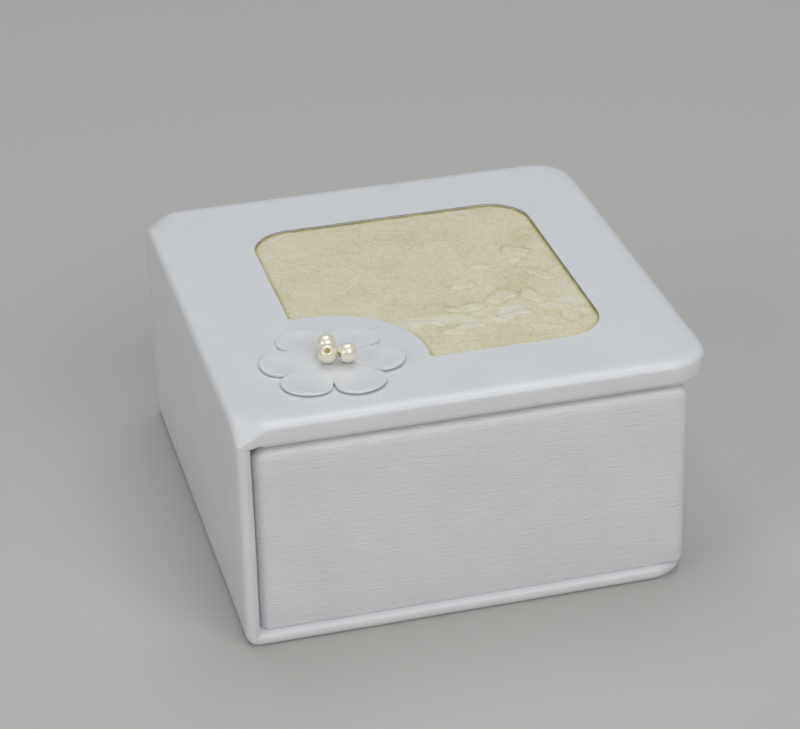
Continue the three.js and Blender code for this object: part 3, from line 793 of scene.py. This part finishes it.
def flower_sheet(material):
    """Six petals cut from one sheet, each cupped and lifted at its tip."""
    stations = PETALS * 28
    base = HEIGHT + 0.03
    shares = [0, 0.14, 0.28, 0.42, 0.54, 0.64, 0.73, 0.81, 0.88, 0.94, 0.975, 1.0]

    def rise(share, turn):
        petal = turn * PETALS / (2 * math.pi)
        nearest = round(petal)
        aside = (petal - nearest) * 2
        lift = PETAL_LIFTS[nearest % PETALS]
        out = smooth((share - 0.35) / 0.65)
        cup = lift * out * (1 - 0.45 * aside ** 2)
        dent = -0.2 * math.exp(-(((share - 0.74) / 0.13) ** 2)) * math.exp(-((aside / 0.5) ** 2))
        return cup + dent

    def ring(share, height, shrink):
        points = []
        for i in range(stations):
            turn = 2 * math.pi * i / stations
            radius = petal_radius(turn) * share - shrink
            angle = turn + PETAL_TURN
            x = FLOWER_X + radius * math.cos(angle)
            y = FLOWER_Y + radius * math.sin(angle)
            ruffle = noise.noise(Vector((x, y, 3.0)) / 3.1) * 0.07 * share
            points.append((x, y, base + height + rise(share, turn) + ruffle))
        return points

    edge = 0.12
    upper = [ring(share, PETAL_SHEET, 0 if share < 1 else edge) for share in shares[1:]]
    brink = [ring(1.0, PETAL_SHEET - edge * 0.3, edge * 0.25), ring(1.0, PETAL_SHEET - edge, 0),
             ring(1.0, edge * 0.6, 0), ring(1.0, 0.0, edge * 0.6)]
    lower = [ring(share, 0.0, 0) for share in reversed(shares[1:-1])]
    vertices, faces = loft(upper + brink + lower)
    count = len(vertices)
    vertices += [(FLOWER_X, FLOWER_Y, base + PETAL_SHEET), (FLOWER_X, FLOWER_Y, base)]
    last = count - stations
    for i in range(stations):
        k = (i + 1) % stations
        faces.append((count, i, k))
        faces.append((count + 1, last + k, last + i))
    return make_mesh("petals", vertices, faces, material, crease=75)


def bead(node, radius, axis, material):
    """A bead with a threading hole along axis, where its CAD node is."""
    low, high = box_mm(node)
    centre = (low + high) / 2
    turn = Vector((0, 0, 1)).rotation_difference(Vector(axis).normalized())
    mouth = math.asin(PEARL_MOUTH / radius)
    rim_z = radius * math.cos(mouth)
    lip = PEARL_MOUTH - PEARL_HOLE
    profile = []
    for i in range(33):
        angle = mouth + (math.pi - 2 * mouth) * i / 32
        profile.append((radius * math.sin(angle), radius * math.cos(angle)))
    bottom_lip = [(PEARL_MOUTH - lip * math.sin(a), -rim_z + lip * (1 - math.cos(a)))
                  for a in [math.pi / 2 * i / 5 for i in range(1, 6)]]
    plug = rim_z - lip - 0.12
    hole = [(PEARL_HOLE, -plug), (PEARL_THREAD, -plug), (PEARL_THREAD, plug), (PEARL_HOLE, plug)]
    top_lip = [(r, -z) for r, z in reversed(bottom_lip)]
    profile += bottom_lip + hole + top_lip
    bare = [min(max((PEARL_RING - r) / PEARL_RING, 0), 1) for r, z in profile]
    around = 48
    rings = []
    for i in range(around):
        angle = 2 * math.pi * i / around
        ring = []
        for r, z in profile:
            ring.append(tuple(centre + turn @ Vector((r * math.cos(angle), r * math.sin(angle), z))))
        rings.append(ring)
    vertices, faces = loft(rings, ends="joined")
    name = node.replace("pearl", "bead")
    return make_mesh(name, vertices, faces, material, crease=60, field=("mouth", bare * around))


# ---- cushion --------------------------------------------------------------------------------------
ROLL_SLACK = 0.35               # the rolls start this much smaller than the room they swell into
ROLL_END = 6.0                  # reach of the gathers from a roll's ends
GATHERS = 13
CLOTH_SCALE = 20                # the cloth is simulated on a copy enlarged this many times
CLOTH_VOXEL = 0.024
CLOTH_PRESSURE = 4
CLOTH_FRAMES = 20
CLOTH_CAP = 0.6                 # farthest that a point of the cover may move


def take_evaluated(piece):
    """Applies the piece's modifiers."""
    bpy.context.view_layer.update()
    graph = bpy.context.evaluated_depsgraph_get()
    made = bpy.data.meshes.new_from_object(piece.evaluated_get(graph))
    piece.modifiers.clear()
    piece.data = made


def swell(piece, low, high):
    """Fills a cover as cloth under pressure, held along its foot and at the middle of its ends."""
    enlarged = CLOTH_SCALE * MM
    piece.data.transform(Matrix.Scale(CLOTH_SCALE, 4))
    remesh = piece.modifiers.new("remesh", "REMESH")
    remesh.mode = "VOXEL"
    remesh.voxel_size = CLOTH_VOXEL
    take_evaluated(piece)
    held = piece.vertex_groups.new(name="held")
    for vertex in piece.data.vertices:
        at = vertex.co / enlarged
        if at.z < low.z + 0.8 or min(high.y - at.y, at.y - low.y) < 0.8:
            held.add([vertex.index], 1.0, "REPLACE")
    cloth = piece.modifiers.new("cloth", "CLOTH")
    cloth.settings.vertex_group_mass = held.name
    cloth.settings.use_pressure = True
    cloth.settings.uniform_pressure_force = CLOTH_PRESSURE
    cloth.settings.effector_weights.gravity = 0
    for frame_number in range(1, CLOTH_FRAMES + 1):
        bpy.context.scene.frame_set(frame_number)
    flat = [vertex.co.copy() for vertex in piece.data.vertices]
    take_evaluated(piece)
    for vertex, before in zip(piece.data.vertices, flat):
        move = vertex.co - before
        move.length = min(move.length, CLOTH_CAP * enlarged)
        at = (before + move) / enlarged
        vertex.co = Vector([min(max(v, a), b) for v, a, b in zip(at, low, high)]) * MM
    bpy.context.scene.frame_set(1)
    piece.vertex_groups.clear()
    smoother = piece.modifiers.new("subdivision", "SUBSURF")
    smoother.levels = smoother.render_levels = 1
    take_evaluated(piece)
    piece.data.shade_smooth()


def roll_cushion(node, place, material):
    """One padded roll of the cushion: full in the middle, gathered at its ends."""
    low, high = box_mm(node)
    middle = (low + high) / 2
    half_width = (high.x - low.x) / 2 - ROLL_SLACK
    half_length = high.y - 0.3
    height = high.z - low.z - ROLL_SLACK
    stations, around = 70, 96
    rings = []
    for i in range(stations + 1):
        y = -half_length + 2 * half_length * i / stations
        near = (half_length - abs(y)) / ROLL_END
        full = 0.74 + 0.26 * math.sqrt(max(1 - max(1 - near, 0) ** 2, 0))
        ring = []
        for j in range(around):
            turn = 2 * math.pi * j / around
            c, s = math.cos(turn), math.sin(turn)
            power = 2 / (2.6 if s > 0 else 5.0)
            px = math.copysign(abs(c) ** power, c)
            pz = math.copysign(abs(s) ** power, s)
            gather = 1 + 0.03 * math.sin(GATHERS * turn + place) * max(1 - near, 0)
            lump = noise.noise(Vector((px * 2 + place * 5, y / 11.0, pz * 2))) * 0.25
            x = middle.x + half_width * full * gather * px
            z = middle.z + height / 2 * full * gather * pz - height / 2 * (1 - full)
            ring.append((x + lump * 0.3 * abs(pz), y, max(z + lump * max(pz, 0), low.z)))
        rings.append(ring)
    vertices, faces = loft(rings, ends="capped")
    cushion = make_mesh(node.replace("cover", "cushion"), vertices, faces, material, crease=70)
    swell(cushion, low, high)
    return cushion


# ---- camera, light and floor ----------------------------------------------------------------------
def add_camera():
    stand = Vector((-0.10264, -0.39158, 0.24806))
    target = Vector((-0.0002, 0.0098, 0.0200))
    data = bpy.data.cameras.new("camera")
    data.lens = 118.5
    data.sensor_width = 36
    camera = bpy.data.objects.new("camera", data)
    camera.location = stand
    aim = (target - stand).to_track_quat("-Z", "Y")
    roll = Quaternion((0, 0, 1), math.radians(-1.36))
    camera.rotation_mode = "QUATERNION"
    camera.rotation_quaternion = aim @ roll
    bpy.context.scene.collection.objects.link(camera)
    bpy.context.scene.camera = camera


def add_area(name, stand, target, size, power, color=(1, 1, 1)):
    data = bpy.data.lights.new(name, "AREA")
    data.shape = "RECTANGLE"
    data.size, data.size_y = size
    data.energy = power
    data.color = color
    light = bpy.data.objects.new(name, data)
    light.location = stand
    light.rotation_mode = "QUATERNION"
    light.rotation_quaternion = (Vector(target) - Vector(stand)).to_track_quat("-Z", "Y")
    bpy.context.scene.collection.objects.link(light)


def add_studio():
    world = bpy.data.worlds.new("studio")
    world.use_nodes = True
    backdrop = world.node_tree.nodes["Background"]
    backdrop.inputs["Color"].default_value = (0.93, 0.96, 1.0, 1)
    backdrop.inputs["Strength"].default_value = 0.17
    scene = bpy.context.scene
    scene.world = world
    scene.view_settings.view_transform = "Standard"
    centre = (0, 0, 0.02)
    add_area("key", (0.20, -0.84, 0.80), centre, (1.0, 0.8), 5.5)
    add_area("overhead", (0.05, 0.30, 1.10), centre, (0.9, 0.9), 5.0, (0.94, 0.97, 1.0))
    add_area("side_fill", (-1.10, -0.50, 0.60), centre, (0.8, 0.8), 3.5, (1.0, 0.98, 0.94))


def add_floor():
    reach = 4.0
    mesh = bpy.data.meshes.new("floor")
    corners = [(-reach, -reach, 0), (reach, -reach, 0), (reach, reach, 0), (-reach, reach, 0)]
    mesh.from_pydata(corners, [], [(0, 1, 2, 3)])
    recipe = Recipe("pale_floor", (0.54, 0.53, 0.51), 0.85)
    recipe.bump(recipe.noise((1.5, 1.5, 1.5), detail=4), 0.04)
    mesh.materials.append(recipe.material)
    floor = bpy.data.objects.new("floor", mesh)
    bpy.context.scene.collection.objects.link(floor)


# ---- putting it together --------------------------------------------------------------------------
def settle(piece, body, slot, *nodes):
    """The piece rides on its body and stands for its CAD nodes; slot is not used."""
    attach(piece, body)
    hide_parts(*nodes)


def finish_nodes(material, nodes):
    """CAD nodes that keep their shape and get a better material."""
    for node in nodes:
        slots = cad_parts[node].data.materials
        slots.clear()
        slots.append(material)


add_camera()
add_studio()
add_floor()

case_leather = leatherette("case_leatherette", (2.4, 0.34, 0.5), 0.03)
tray_leather = leatherette("tray_leatherette", (3.6, 3.6, 0.32), 0.15)

settle(lid_skin(case_leather), "lid", "case_leatherette", "lid_wrap")
settle(case_skin(case_leather), "base", "case_leatherette", "case_wrap")

band = band_skin(case_leather)
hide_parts("hinge_wrap")
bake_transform(band)

settle(tray_skin(tray_leather), "base", "tray_leatherette", "tray_wrap")
settle(panel_sheet(window_paper()), "lid", "panel", "window_panel")
settle(flower_sheet(case_leather), "lid", "case_leatherette", "flower")

pearl_skin = pearl("ivory_pearl")
for node, radius, axis in [
    ("pearl_back", 1.6, (-0.1, 0.9, 0.45)),
    ("pearl_front", 1.62, (-0.164, -0.671, 0.723)),
    ("pearl_right", 1.66, (0.95, 0.3, 0.0)),
]:
    settle(bead(node, radius, axis, pearl_skin), "lid", "bead", node)

satin_cover = satin()
for place, name in enumerate(("hinge", "middle", "fore")):
    cushion = roll_cushion(f"roll_cover_{name}", place, satin_cover)
    settle(cushion, "base", "cushion_cover", f"roll_cover_{name}", f"roll_foam_{name}")

paper = lining_paper()
finish_nodes(paper, ["lid_liner", "tray_lining"])
finish_nodes(grey_board(), [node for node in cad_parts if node.endswith("board") or node == "cushion_card"])
finish_nodes(nickel(), [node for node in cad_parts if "magnet" in node])
